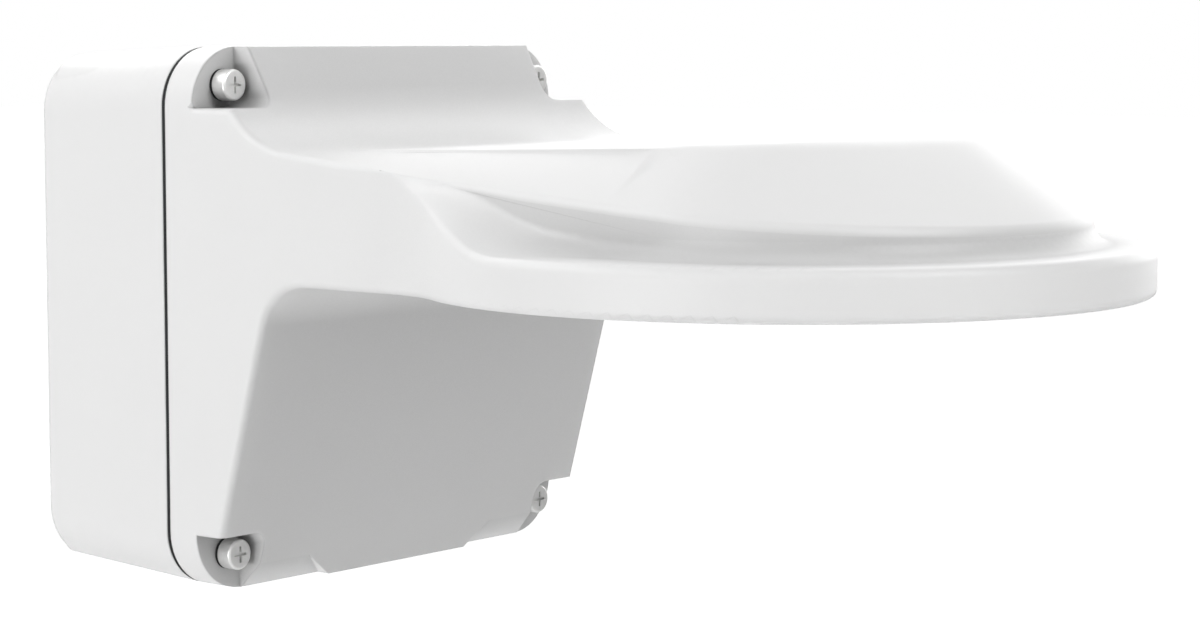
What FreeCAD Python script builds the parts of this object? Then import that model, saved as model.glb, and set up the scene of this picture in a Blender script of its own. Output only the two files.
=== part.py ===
import FreeCAD, Part
import Sketcher
import math
import os

# Camera bracket: a cast rear box, a gasket and a hollow cast arm with a round dish under its hood.
# The origin is the centre of the wall face. Z is up, the arm reaches forward along minus Y.
# Depths are given as distances forward of the wall.

V = FreeCAD.Vector
doc = FreeCAD.newDocument("camera_bracket")

# Driving sizes in millimetres
sizes = {
    "half_width": 72.8,
    "half_height": 72.5,
    "corner_radius": 16.0,
    "wall": 3.0,
    "box_depth": 49.4,
    "box_taper": 2.4,
    "gasket_depth": 1.2,
    "gasket_inset": 0.1,
    "gasket_width": 4.3,
    "box_lip_round": 0.6,
    "skirt_depth": 15.0,
    "floor_depth": 10.1,
    "pocket_width": 15.5,
    "pocket_height": 16.0,
    "upper_draft": 0.11,
    "lower_draft": 0.18,
    "pocket_radius": 4.5,
    "screw_side_inset": 10.8,
    "screw_end_inset": 10.0,
    "screw_radius": 2.0,
    "screw_length": 25.0,
    "screw_tip_gap": 4.5,
    "head_radius": 4.15,
    "head_height": 4.5,
    "head_round": 0.7,
    "cross_depth": 1.1,
    "cross_reach": 2.2,
    "cross_width": 0.84,
    "seal_height": 0.8,
    "column_radius": 6.5,
    "fit_gap": 0.05,
    "saddle_slope": 1.882,
    "saddle_radius": 30.0,
    "lower_face_depth": 34.9,
    "lower_face_slope": 0.275,
    "inner_radius": 15.0,
    "chamfer_height": 6.9,
    "chamfer_depth": 10.6,
    "block_top_half": 37.5,
    "block_low_half": 28.0,
    "roof_drop": 23.1022,
    "roof_rise": 0.036,
    "roof_inset": 24.8,
    "hood_overhang": 5.0,
    "hood_corner": 45.0,
    "edge_drop": 5.1978,
    "edge_start": 93.05,
    "edge_fall": 0.1065,
    "edge_curve": 0.000155,
    "dish_start": 54.65,
    "brim": 15.5,
    "dish_drop": 48.5,
    "rim_height": 12.7,
    "dish_top_round": 2.7,
    "dish_low_round": 2.0,
    "flare_radius": 40.0,
    "ledge_fillet": 5.0,
    "rim_wall": 3.2,
    "dish_skin": 3.0,
    "cable_bore": 20.0,
    "camera_pitch": 110.0,
    "post_radius": 5.5,
    "post_recess": 2.0,
    "post_hole_radius": 2.1,
    "rib_width": 2.5,
    "wall_hole_x": 50.0,
    "wall_hole_z": 50.0,
    "wall_hole_radius": 2.9,
    "entry_radius": 14.7,
    "conduit_radius": 13.2,
    "conduit_depth": 25.0,
    "plug_flange": 2.4,
    "plug_thread": 11.5,
    "plug_slot_width": 3.0,
    "plug_wall": 3.1,
    "earth_x": 30.0,
    "earth_z": 30.0,
    "eye_radius": 4.0,
}

sheet = doc.addObject("Spreadsheet::Sheet", "Sizes")
for row, (word, number) in enumerate(sizes.items(), start=1):
    sheet.set("A" + str(row), word)
    sheet.set("B" + str(row), str(number))
    sheet.setAlias("B" + str(row), word)
doc.recompute()


class Size:
    """A number together with the sheet expression that drives it."""

    def __init__(self, value, text):
        self.value = float(value)
        self.text = text

    def join(self, other, sign, flip=False):
        if not isinstance(other, Size):
            other = Size(other, repr(float(other)))
        first, second = (other, self) if flip else (self, other)
        a, b = first.value, second.value
        value = {"+": a + b, "-": a - b, "*": a * b, "/": a / b if b else 0.0}[sign]
        return Size(value, "(" + first.text + " " + sign + " " + second.text + ")")

    def __add__(self, other):
        return self.join(other, "+")

    def __radd__(self, other):
        return self.join(other, "+", True)

    def __sub__(self, other):
        return self.join(other, "-")

    def __rsub__(self, other):
        return self.join(other, "-", True)

    def __mul__(self, other):
        return self.join(other, "*")

    def __rmul__(self, other):
        return self.join(other, "*", True)

    def __truediv__(self, other):
        return self.join(other, "/")

    def __neg__(self):
        return self.join(-1, "*")


worked_out = {}


def size(word):
    """A driving size from the sheet, or one worked out from others."""
    if word in worked_out:
        return worked_out[word]
    return Size(sizes[word], "Sizes." + word)


def number(value):
    return value.value if isinstance(value, Size) else float(value)


def bind(thing, path, value):
    """Set a property from a size, or as a plain number where nothing drives it."""
    if isinstance(value, Size):
        thing.setExpression(path, value.text)
        return
    target = thing
    parts = path.split(".")
    if len(parts) == 1:
        setattr(target, path, value)
    else:
        thing.setExpression(path, repr(float(value)))


def new_body(name):
    return doc.addObject("PartDesign::Body", name)


def origin_plane(body, role):
    for item in body.Origin.OriginFeatures:
        if item.Role == role:
            return item
    raise ValueError(role)


def new_sketch(body, name, role, offset=0.0):
    sketch = body.newObject("Sketcher::SketchObject", name)
    sketch.AttachmentSupport = [(origin_plane(body, role), "")]
    sketch.MapMode = "FlatFace"
    bind(sketch, "AttachmentOffset.Base.z", offset)
    return sketch


def place_point(sketch, geo, pos, x, y):
    """Tie one sketch point to its two distances from the sketch origin."""
    for kind, value in (("DistanceX", x), ("DistanceY", y)):
        index = sketch.addConstraint(Sketcher.Constraint(kind, -1, 1, geo, pos, number(value)))
        if isinstance(value, Size):
            sketch.setExpression("Constraints[" + str(index) + "]", value.text)


def polygon(sketch, points):
    count = len(points)
    flat = [V(number(x), number(y), 0) for x, y in points]
    first = sketch.GeometryCount
    for i in range(count):
        sketch.addGeometry(Part.LineSegment(flat[i], flat[(i + 1) % count]), False)
    for i in range(count):
        here = first + i
        after = first + (i + 1) % count
        sketch.addConstraint(Sketcher.Constraint("Coincident", here, 2, after, 1))
    for i, (x, y) in enumerate(points):
        place_point(sketch, first + i, 1, x, y)


def circle(sketch, x, y, radius):
    geo = sketch.addGeometry(Part.Circle(V(number(x), number(y), 0), V(0, 0, 1), number(radius)), False)
    place_point(sketch, geo, 3, x, y)
    index = sketch.addConstraint(Sketcher.Constraint("Radius", geo, number(radius)))
    if isinstance(radius, Size):
        sketch.setExpression("Constraints[" + str(index) + "]", radius.text)


def pad(body, name, sketch, length, symmetric=False, back=False, taper=0.0):
    step = body.newObject("PartDesign::Pad", name)
    step.Profile = sketch
    bind(step, "Length", length)
    if symmetric:
        step.SideType = "Symmetric"
    step.Reversed = back
    bind(step, "TaperAngle", taper)
    return step


def pocket(body, name, sketch, length, back=False):
    step = body.newObject("PartDesign::Pocket", name)
    step.Profile = sketch
    bind(step, "Length", length)
    step.Reversed = back
    return step


def edge_names(shape, test):
    return ["Edge" + str(i + 1) for i, edge in enumerate(shape.Edges) if test(edge)]


def round_edges(body, name, feature, test, radius):
    """Round the edges of a body that pass a test of place and direction."""
    doc.recompute()
    step = body.newObject("PartDesign::Fillet", name)
    step.Base = (feature, edge_names(feature.Shape, test))
    bind(step, "Radius", radius)
    return step


def near(a, b, reach=0.05):
    return abs(a - b) < reach


def along_x_at(y, z):
    def test(edge):
        box = edge.BoundBox
        return near(box.YMin, y) and near(box.YMax, y) and near(box.ZMin, z) and near(box.ZMax, z)
    return test


def part_object(kind, name, **links):
    thing = doc.addObject("Part::" + kind, name)
    for key, value in links.items():
        setattr(thing, key, value)
    return thing


def fixed_shape(name, shape):
    thing = doc.addObject("Part::Feature", name)
    thing.Shape = shape
    return thing


def part_fillet(name, base, picks):
    """Round edges of a joined shape, each picked by a test with its own radius."""
    doc.recompute()
    chosen = []
    for i, edge in enumerate(base.Shape.Edges):
        for test, radius in picks:
            if test(edge):
                chosen.append((i + 1, radius, radius))
                break
    step = doc.addObject("Part::Fillet", name)
    step.Base = base
    step.Edges = chosen
    return step


half_w = size("half_width")
half_h = size("half_height")
wall = size("wall")
gasket_front = size("box_depth") + size("gasket_depth")

# Sizes that follow from the plate and the gasket
worked_out["skirt_front"] = gasket_front + size("skirt_depth")
worked_out["pocket_floor"] = gasket_front + size("floor_depth")
worked_out["chamfer_back"] = gasket_front + size("chamfer_depth")
worked_out["lower_face_at_zero"] = gasket_front + size("lower_face_depth")
worked_out["pocket_edge_x"] = half_w - size("pocket_width")
worked_out["pocket_edge_z"] = half_h - size("pocket_height")
worked_out["screw_x"] = half_w - size("screw_side_inset")
worked_out["screw_z"] = half_h - size("screw_end_inset")
worked_out["chamfer_top_z"] = half_h - size("chamfer_height")

# Sizes of the hood and the dish, which hang from the top of the plate and widen from its sides
worked_out["hood_radius"] = half_w + size("hood_overhang")
worked_out["dish_radius"] = size("hood_radius") + size("brim")
worked_out["dish_reach"] = gasket_front + size("dish_start") + size("dish_radius")
worked_out["dish_top_z"] = half_h - size("dish_drop")
worked_out["under_z"] = size("dish_top_z") - size("rim_height")
worked_out["post_end_z"] = size("under_z") + size("post_recess")
worked_out["roof_height"] = half_h - size("roof_drop")
worked_out["roof_half"] = half_w - size("roof_inset")
worked_out["edge_height"] = size("roof_height") - size("edge_drop")

skirt_front = size("skirt_front")
under = size("under_z")
reach = size("dish_reach")

# Line of the saddle and line of the roof, seen from the side
roof_at_wall = size("roof_height") - reach * size("roof_rise")
foot_t = (half_h + size("saddle_slope") * skirt_front - roof_at_wall) / (size("roof_rise") + size("saddle_slope"))
foot_z = roof_at_wall + size("roof_rise") * foot_t
lower_low_t = size("lower_face_at_zero") - size("lower_face_slope") * half_h
inner_t = size("lower_face_at_zero") + size("lower_face_slope") * under
far_t = reach + 110

# Side profile of the arm, drawn as one thick block across its width
side_block = new_body("arm_side_block")
side_sketch = new_sketch(side_block, "arm_side_profile", "YZ_Plane")
polygon(side_sketch, [
    (-gasket_front, half_h),
    (-skirt_front, half_h),
    (-foot_t, foot_z),
    (-far_t, roof_at_wall + size("roof_rise") * far_t),
    (-far_t, under),
    (-inner_t, under),
    (-lower_low_t, -half_h),
    (-gasket_front, -half_h),
])
side_pad = pad(side_block, "arm_side_pad", side_sketch, 2 * half_w, symmetric=True)
saddle_round = round_edges(side_block, "saddle_round", side_pad,
                           along_x_at(-foot_t.value, foot_z.value), size("saddle_radius"))
inner_round = round_edges(side_block, "inner_round", saddle_round,
                          along_x_at(-inner_t.value, under.value), size("inner_radius"))


def hood_outline(name, inset):
    """Plan column of the arm and hood: two sides, a round front and blended corners."""
    body = new_body(name)
    sketch = new_sketch(body, name + "_sketch", "XY_Plane", -half_h - 40)
    edge_x = half_w - inset
    radius = size("hood_radius") - inset
    drop = math.sqrt(radius.value ** 2 - edge_x.value ** 2)
    corner_y = -reach.value - drop
    back_y = 10.0 - gasket_front.value
    right = V(edge_x.value, corner_y, 0)
    left = V(-edge_x.value, corner_y, 0)
    sketch.addGeometry(Part.LineSegment(V(edge_x.value, back_y, 0), right), False)
    start = math.atan2(-drop, -edge_x.value)
    end = math.atan2(-drop, edge_x.value)
    ring = Part.Circle(V(0, -reach.value, 0), V(0, 0, 1), radius.value)
    sketch.addGeometry(Part.ArcOfCircle(ring, start, end), False)
    sketch.addGeometry(Part.LineSegment(left, V(-edge_x.value, back_y, 0)), False)
    sketch.addGeometry(Part.LineSegment(V(-edge_x.value, back_y, 0), V(edge_x.value, back_y, 0)), False)
    for a, b, c, d in ((0, 2, 1, 2), (1, 1, 2, 1), (2, 2, 3, 1), (3, 2, 0, 1)):
        sketch.addConstraint(Sketcher.Constraint("Coincident", a, b, c, d))
    place_point(sketch, 0, 1, edge_x, back_y)
    place_point(sketch, 3, 1, -edge_x, back_y)
    place_point(sketch, 1, 3, 0.0, -reach)
    sketch.addConstraint(Sketcher.Constraint("Vertical", 0))
    sketch.addConstraint(Sketcher.Constraint("Vertical", 2))
    index = sketch.addConstraint(Sketcher.Constraint("Radius", 1, radius.value))
    sketch.setExpression("Constraints[" + str(index) + "]", radius.text)
    column = pad(body, name + "_pad", sketch, 2 * half_h + 80)

    def corner(edge):
        box = edge.BoundBox
        return (box.ZLength > 2 * half_h.value and near(abs(box.XMin), edge_x.value)
                and near(box.XMin, box.XMax) and near(box.YMin, corner_y, 0.2))

    round_edges(body, name + "_corners", column, corner, size("hood_corner") - inset)
    return body


hood_column = hood_outline("hood_column", 0.0)


def skirt_column(name, inset, start, length):
    """Rounded square column along the arm, the outline of the plate."""
    body = new_body(name)
    sketch = new_sketch(body, name + "_sketch", "XZ_Plane", start)
    x = half_w - inset
    z = half_h - inset
    polygon(sketch, [(-x, -z), (x, -z), (x, z), (-x, z)])
    column = pad(body, name + "_pad", sketch, length)

    def corner(edge):
        box = edge.BoundBox
        return box.YLength > 1 and near(box.XMin, box.XMax) and near(box.ZMin, box.ZMax)

    round_edges(body, name + "_corners", column, corner, size("corner_radius") - inset)
    return body


plate_column = skirt_column("plate_column", 0.0, gasket_front, far_t)
doc.recompute()

# Arm without its dish: what the side profile and the plan have in common
arm_blank = part_object("MultiCommon", "arm_blank", Shapes=[side_block, hood_column])


def dish_outline(sketch):
    """Round dish whose two sides run back into the arm in hollow curves."""
    rd = size("dish_radius").value
    rf = size("flare_radius").value
    hw = half_w.value
    cy = -reach.value
    rise = math.sqrt((rd + rf) ** 2 - (hw + rf) ** 2)
    fy = cy + rise
    tx = (hw + rf) * rd / (rd + rf)
    ty = cy + rise * rd / (rd + rf)
    back = fy + 17.5
    dish = Part.Circle(V(0, cy, 0), V(0, 0, 1), rd)
    flare_r = Part.Circle(V(hw + rf, fy, 0), V(0, 0, 1), rf)
    flare_l = Part.Circle(V(-hw - rf, fy, 0), V(0, 0, 1), rf)
    a = math.atan2(ty - cy, tx)
    f = math.atan2(ty - fy, tx - hw - rf)
    sketch.addGeometry(Part.ArcOfCircle(dish, math.pi - a, 2 * math.pi + a), False)
    sketch.addGeometry(Part.ArcOfCircle(flare_r, math.pi, 2 * math.pi + f), False)
    sketch.addGeometry(Part.LineSegment(V(hw, fy, 0), V(hw, back, 0)), False)
    sketch.addGeometry(Part.LineSegment(V(hw, back, 0), V(-hw, back, 0)), False)
    sketch.addGeometry(Part.LineSegment(V(-hw, back, 0), V(-hw, fy, 0)), False)
    sketch.addGeometry(Part.ArcOfCircle(flare_l, math.pi - f, 2 * math.pi), False)
    add = sketch.addConstraint
    add(Sketcher.Constraint("Tangent", 0, 2, 1, 2))
    add(Sketcher.Constraint("Tangent", 1, 1, 2, 1))
    add(Sketcher.Constraint("Coincident", 2, 2, 3, 1))
    add(Sketcher.Constraint("Coincident", 3, 2, 4, 1))
    add(Sketcher.Constraint("Tangent", 4, 2, 5, 2))
    add(Sketcher.Constraint("Tangent", 5, 1, 0, 1))
    add(Sketcher.Constraint("Vertical", 2))
    add(Sketcher.Constraint("Vertical", 4))
    place_point(sketch, 0, 3, 0.0, -reach)
    place_point(sketch, 3, 1, half_w, back)
    place_point(sketch, 4, 1, -half_w, back)
    for geo, word in ((0, "dish_radius"), (1, "flare_radius"), (5, "flare_radius")):
        index = add(Sketcher.Constraint("Radius", geo, size(word).value))
        sketch.setExpression("Constraints[" + str(index) + "]", size(word).text)


# Dish: a thick round slab under the front of the hood
dish_body = new_body("dish_slab")
dish_sketch = new_sketch(dish_body, "dish_sketch", "XY_Plane", under)
dish_outline(dish_sketch)
dish_pad = pad(dish_body, "dish_pad", dish_sketch, size("dish_top_z") - under)

# The same outline carried up past the roof, which trims the blend at the ledge
tall_body = new_body("dish_tall")
tall_sketch = new_sketch(tall_body, "dish_tall_sketch", "XY_Plane", size("dish_top_z") - 2.5)
dish_outline(tall_sketch)
tall_pad = pad(tall_body, "dish_tall_pad", tall_sketch, 60.0)
doc.recompute()


# Roof relief. The roof of the hood is a flat, slightly rising panel with a round front end.
# From the edge of that panel the sides and the front fall to the lower edge of the hood wall,
# so each flank is a ruled surface strung between the panel edge and the wall edge.
roof_half = size("roof_half").value
beyond = 84.0 / 72.8 * sizes["half_width"]


def roof_line(t):
    return size("roof_height").value + sizes["roof_rise"] * (t - size("dish_reach").value)


def wall_edge(t):
    s = t - size("dish_reach").value + sizes["edge_start"]
    return size("edge_height").value - sizes["edge_fall"] * s + sizes["edge_curve"] * s * s


def flank_line(t):
    """Height of the flank carried on past the side wall, where its cutter ends."""
    share = (beyond - roof_half) / (sizes["half_width"] - roof_half)
    return roof_line(t) + (wall_edge(t) - roof_line(t)) * share


def saddle_arc(line):
    """Start, centre and end of the arc that joins the saddle slope to a roof line."""
    radius = sizes["saddle_radius"]
    slope = sizes["saddle_slope"]
    span = math.hypot(1, slope)
    nt, nz = slope / span, 1 / span

    def centre(t):
        h = 0.01
        q = (line(t + h) - line(t - h)) / (2 * h)
        span_q = math.hypot(1, q)
        return t - q / span_q * radius, line(t) + radius / span_q

    def miss(t):
        a, b = centre(t)
        return (a - size("skirt_front").value) * nt + (b - sizes["half_height"]) * nz - radius

    low, high = size("skirt_front").value, size("skirt_front").value + 80
    for _ in range(60):
        middle = (low + high) / 2
        if (miss(middle) > 0) == (miss(high) > 0):
            high = middle
        else:
            low = middle
    a, b = centre(low)
    return (a - radius * nt, b - radius * nz), (a, b), low


def saddle_curve(x, line):
    start, mid, end = saddle_arc(line)
    radius = sizes["saddle_radius"]
    first = math.atan2(start[1] - mid[1], start[0] - mid[0])
    last = math.atan2(line(end) - mid[1], end - mid[0])
    turn = (first + last) / 2
    way = V(x, -(mid[0] + radius * math.cos(turn)), mid[1] + radius * math.sin(turn))
    return Part.Arc(V(x, -start[0], start[1]), way, V(x, -end, line(end))).toShape()


def smooth_curve(points):
    curve = Part.BSplineCurve()
    curve.interpolate(points)
    return curve.toShape()


def outline_radius(azimuth):
    """Distance of the hood wall from the dish axis, measured in plan."""
    big, small, half = size("hood_radius").value, sizes["hood_corner"], sizes["half_width"]
    cx = half - small
    cy = math.sqrt((big - small) ** 2 - cx * cx)
    s, c = abs(math.sin(azimuth)), math.cos(azimuth)
    if abs(azimuth) < math.atan2(cx, cy):
        return big
    along = s * cx + c * cy
    reach_out = along + math.sqrt(max(along * along - (big - small) ** 2 + small * small, 0.0))
    if reach_out * c < cy:
        return half / s
    return reach_out


def roof_cutters(rows=25):
    """Shells over the flanks and the front, each carried straight up."""
    sheets = []
    axis_t = size("dish_reach").value
    for side in (-1, 1):
        panel = saddle_curve(side * roof_half, roof_line)
        skirt = saddle_curve(side * beyond, flank_line)
        sheets.append(Part.makeRuledSurface(panel, skirt))
        start = saddle_arc(roof_line)[2]
        edge = Part.makeLine(V(side * roof_half, -start, roof_line(start)),
                             V(side * roof_half, -axis_t, roof_line(axis_t)))
        first = saddle_arc(flank_line)[2]
        steps = [first + (axis_t - first) * i / 8 for i in range(9)]
        rim = smooth_curve([V(side * beyond, -t, flank_line(t)) for t in steps])
        sheets.append(Part.makeRuledSurface(edge, rim))
    inner, outer = [], []
    for i in range(rows):
        azimuth = math.radians(-90 + 180 * i / (rows - 1))
        s, c = math.sin(azimuth), math.cos(azimuth)
        near_t = axis_t + roof_half * c
        top = roof_line(near_t)
        inner.append(V(roof_half * s, -near_t, top))
        out = outline_radius(azimuth)
        low = wall_edge(axis_t + out * c)
        far = out + 3.0 + (beyond - sizes["half_width"] - 3.0) * s * s
        share = (far - roof_half) / (out - roof_half)
        outer.append(V(far * s, -axis_t - far * c, top + (low - top) * share))
    sheets.append(Part.makeRuledSurface(smooth_curve(inner), smooth_curve(outer)))
    solids = [sheet.extrude(V(0, 0, 60)) for sheet in sheets]
    return solids[0].fuse(solids[1:])


roof_relief = fixed_shape("roof_relief", roof_cutters())


# Blend at the ledge. A hollow fillet runs round the foot of the hood wall, and towards the
# arm it grows until it meets the flare of the dish in a feather edge.
ledge_r = sizes["ledge_fillet"]


def blend_section(t, width, height, top_pull, side_x, side_z, side):
    """Closed profile across the ledge: two buried edges and one hollow curve."""
    def at(a, b):
        return V(side * (sizes["half_width"] + a), -t, size("dish_top_z").value + b)
    curve = Part.BezierCurve()
    curve.setPoles([at(width, 0), at(side_x * width, side_z * height), at(0, top_pull * height), at(0, height)])
    return Part.Wire([
        Part.makeLine(at(-3, height), at(-3, -2)),
        Part.makeLine(at(-3, -2), at(width, -2)),
        Part.makeLine(at(width, -2), at(width, 0)),
        curve.toShape(),
        Part.makeLine(at(0, height), at(-3, height)),
    ])


hood_cx = sizes["half_width"] - sizes["hood_corner"]
hood_cy = math.sqrt((size("hood_radius").value - sizes["hood_corner"]) ** 2 - hood_cx ** 2)
side_end = size("dish_reach").value + hood_cy
corner_turn = math.degrees(math.atan2(hood_cy, hood_cx))


def run_out_stations():
    """Rows along the arm: distance from the wall, width, height and the pulls of the curve."""
    base = size("dish_top_z").value
    front = side_end
    rows = []
    for back, width, extra in ((91.4, 40, 1.5), (82.4, 42, 1.5), (73.4, 44, 1.0), (66.4, 46, 0.5)):
        t = front - back
        rows.append((t, width, wall_edge(t) - base + extra, 0.6, 0.4, 0.0))
    for back, width, height, pull, sx, sz in (
            (59.4, 46, 14.6, 0.60, 0.40, 0.0), (52.4, 38, 12.2, 0.60, 0.40, 0.0),
            (44.4, 26, 9.0, 0.57, 0.40, 0.0), (38.4, 19.0, 7.2, 0.53, 0.42, 0.0),
            (31.4, 12.5, 6.0, 0.50, 0.44, 0.0), (22.4, 7.2, 5.2, 0.46, 0.45, 0.0)):
        rows.append((front - back, width, height, pull, sx, sz))
    for back in (13.4, 7.4, 0.0):
        rows.append((front - back, ledge_r, ledge_r, 0.448, 0.448, 0.0))
    return rows


def ledge_blend():
    """Run-outs on both sides, the two corner arcs and the long front arc, as one ring."""
    solids = []
    up = V(0, 0, 1)
    for side in (-1, 1):
        solids.append(Part.makeLoft([blend_section(*row, side) for row in run_out_stations()], True, False))
        end = Part.Face(blend_section(side_end, ledge_r, ledge_r, 0.448, 0.448, 0.0, side))
        pivot = V(side * hood_cx, -side_end, 0)
        solids.append(end.revolve(pivot, up, -side * corner_turn))
        if side == 1:
            end.rotate(pivot, up, -corner_turn)
            span = 180 - 2 * corner_turn
            solids.append(end.revolve(V(0, -size("dish_reach").value, 0), up, -span))
    return solids


blend_ring = fixed_shape("ledge_blend", ledge_blend()[0].multiFuse(ledge_blend()[1:]))
blend_fit = part_object("Common", "ledge_blend_fit", Base=blend_ring, Tool=tall_body)
arm_full = part_object("MultiFuse", "arm_with_dish", Shapes=[arm_blank, dish_body, blend_fit])
arm_roofed = part_object("Cut", "arm_roofed", Base=arm_full, Tool=roof_relief)
doc.recompute()


def box_of(edge):
    return edge.BoundBox


def dish_top_edge(edge):
    box = box_of(edge)
    top = size("dish_top_z").value
    return near(box.ZMin, top) and near(box.ZMax, top) and edge.Length > 2.5 * size("dish_radius").value


def under_edge(edge):
    box = box_of(edge)
    flat = near(box.ZMin, under.value) and near(box.ZMax, under.value)
    return flat and not (box.XLength > 1.9 * half_w.value and box.YLength < 1)


dish_rounds = part_fillet("dish_rounds", arm_roofed, [
    (dish_top_edge, sizes["dish_top_round"]),
    (under_edge, sizes["dish_low_round"]),
])

# Everything outside the rounded outline of the plate, as far as the slope of the lower face reaches
plate_frame = doc.addObject("Part::Box", "plate_frame")
bind(plate_frame, "Length", 2 * half_w + 40)
bind(plate_frame, "Width", 50.0)
bind(plate_frame, "Height", 2 * half_h + 40)
bind(plate_frame, "Placement.Base.x", -half_w - 20)
bind(plate_frame, "Placement.Base.y", -gasket_front - 49)
bind(plate_frame, "Placement.Base.z", -half_h - 20)
frame_cut = part_object("Cut", "plate_frame_cut", Base=plate_frame, Tool=plate_column)
arm_plate = part_object("Cut", "arm_plate", Base=dish_rounds, Tool=frame_cut)


def corner_pocket(name, sign):
    """Open corner recess around one screw: a plan wedge carried up or down, with a round corner."""
    body = new_body(name)
    x0 = size("pocket_edge_x")
    floor_t = size("pocket_floor")
    draft = size("upper_draft") if sign > 0 else size("lower_draft")
    sketch = new_sketch(body, name + "_sketch", "XY_Plane", size("pocket_edge_z") * sign)
    polygon(sketch, [
        (x0, -floor_t),
        (half_w + 10, -floor_t),
        (half_w + 10, -floor_t - 40),
        (x0 - 40 * draft, -floor_t - 40),
    ])
    block = pad(body, name + "_pad", sketch, 30.0, back=sign < 0)

    def corner(edge):
        box = box_of(edge)
        level = size("pocket_edge_z").value * sign
        return near(box.ZMin, level) and near(box.ZMax, level) and box.YLength > 30 and box.XMin < x0.value - 1

    round_edges(body, name + "_corner", block, corner, size("pocket_radius"))
    mirror = part_object("Mirroring", name + "_mirror", Source=body, Base=V(0, 0, 0), Normal=V(1, 0, 0))
    return [body, mirror]


# Recesses for the four cover screws
pockets = corner_pocket("upper_pocket", 1) + corner_pocket("lower_pocket", -1)

# Chamfer under the lower face, broken by a block in the middle
chamfer_body = new_body("lower_chamfer")
chamfer_sketch = new_sketch(chamfer_body, "chamfer_profile", "YZ_Plane")
chamfer_t = size("lower_face_at_zero") - size("lower_face_slope") * size("chamfer_top_z")
chamfer_run = (chamfer_t - size("chamfer_back")) / (half_h - size("chamfer_top_z"))
polygon(chamfer_sketch, [
    (-chamfer_t - chamfer_run * 2, -size("chamfer_top_z") + 2),
    (-size("chamfer_back") + chamfer_run, -half_h - 1),
    (-chamfer_t - 15, -half_h - 1),
    (-chamfer_t - 15, -size("chamfer_top_z") + 2),
])
chamfer_pad = pad(chamfer_body, "chamfer_pad", chamfer_sketch, 2 * half_w + 10, symmetric=True)
block_sketch = new_sketch(chamfer_body, "chamfer_block", "XZ_Plane")
block_grow = (size("block_top_half") - size("block_low_half")) / (half_h - size("chamfer_top_z"))
polygon(block_sketch, [
    (-size("block_low_half") + block_grow * 2, -half_h - 2),
    (size("block_low_half") - block_grow * 2, -half_h - 2),
    (size("block_top_half") + block_grow * 4, -size("chamfer_top_z") + 4),
    (-size("block_top_half") - block_grow * 4, -size("chamfer_top_z") + 4),
])
block_cut = pocket(chamfer_body, "chamfer_block_cut", block_sketch, 200.0, back=True)
doc.recompute()

arm_outside = part_object("MultiFuse", "arm_relief_tools", Shapes=pockets + [chamfer_body])
arm_solid = part_object("Cut", "arm_solid", Base=arm_plate, Tool=arm_outside)

# Hollow of the arm: a shallow space behind the plate and a deep space behind the two faces
plate_hollow = skirt_column("plate_hollow", wall, gasket_front - 1, size("pocket_floor") - wall - gasket_front + 1)
hollow_body = new_body("arm_hollow")
hollow_sketch = new_sketch(hollow_body, "hollow_profile", "YZ_Plane")
hollow_start = size("pocket_floor") - wall - 0.5
hollow_low = size("chamfer_top_z") - 1.6
face_back = wall * 1.04
lower_back = size("lower_face_at_zero") - face_back
saddle_back = wall * 1.14
hollow_top = half_h - wall
saddle_top_t = skirt_front + wall / size("saddle_slope") - saddle_back
ceiling = roof_at_wall + size("roof_rise") * 95 - wall * 1.1
saddle_low_t = skirt_front - saddle_back + (half_h - ceiling - 7) / size("saddle_slope")
floor_step = size("dish_top_z")
polygon(hollow_sketch, [
    (-hollow_start, -hollow_low),
    (-lower_back + size("lower_face_slope") * hollow_low, -hollow_low),
    (-lower_back - size("lower_face_slope") * 3, 3.0),
    (-lower_back - 9.0, under + wall),
    (-reach + size("dish_radius") - 2, under + wall),
    (-reach + size("dish_radius") - size("rim_wall") - 5, floor_step),
    (-far_t, floor_step),
    (-far_t, ceiling),
    (-saddle_low_t - 14.0, ceiling),
    (-saddle_low_t, ceiling + 7),
    (-saddle_top_t, hollow_top),
    (-hollow_start, hollow_top),
])
hollow_pad = pad(hollow_body, "hollow_pad", hollow_sketch, 2 * (half_w - wall), symmetric=True)
hood_hollow = hood_outline("hood_hollow", wall)
doc.recompute()
hollow_raw = part_object("MultiCommon", "hollow_raw", Shapes=[hollow_body, hood_hollow])

# Metal kept around the screw recesses
keep_boxes = []
for sx in (-1, 1):
    for sz in (-1, 1):
        keep = doc.addObject("Part::Box", "keep_" + ("right" if sx > 0 else "left") + ("_top" if sz > 0 else "_low"))
        bind(keep, "Length", 40.0)
        bind(keep, "Width", 60.0)
        bind(keep, "Height", 40.0)
        edge_x = size("pocket_edge_x") - wall - 3.2
        edge_z = size("pocket_edge_z") - wall - 0.6
        bind(keep, "Placement.Base.x", edge_x if sx > 0 else -edge_x - 40)
        bind(keep, "Placement.Base.y", -size("pocket_floor") + wall - 59)
        bind(keep, "Placement.Base.z", edge_z if sz > 0 else -edge_z - 40)
        keep_boxes.append(keep)

inner_relief = roof_relief.Shape.copy()
inner_relief.translate(V(0, 0, -1.2 * sizes["wall"]))
roof_inner = fixed_shape("roof_relief_inner", inner_relief)
keep_all = part_object("MultiFuse", "hollow_limits", Shapes=keep_boxes + [roof_inner])
hollow_deep = part_object("Cut", "hollow_deep", Base=hollow_raw, Tool=keep_all)
hollow_all = part_object("MultiFuse", "hollow_all", Shapes=[plate_hollow, hollow_deep])
arm_shell = part_object("Cut", "arm_shell", Base=arm_solid, Tool=hollow_all)
doc.recompute()


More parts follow.
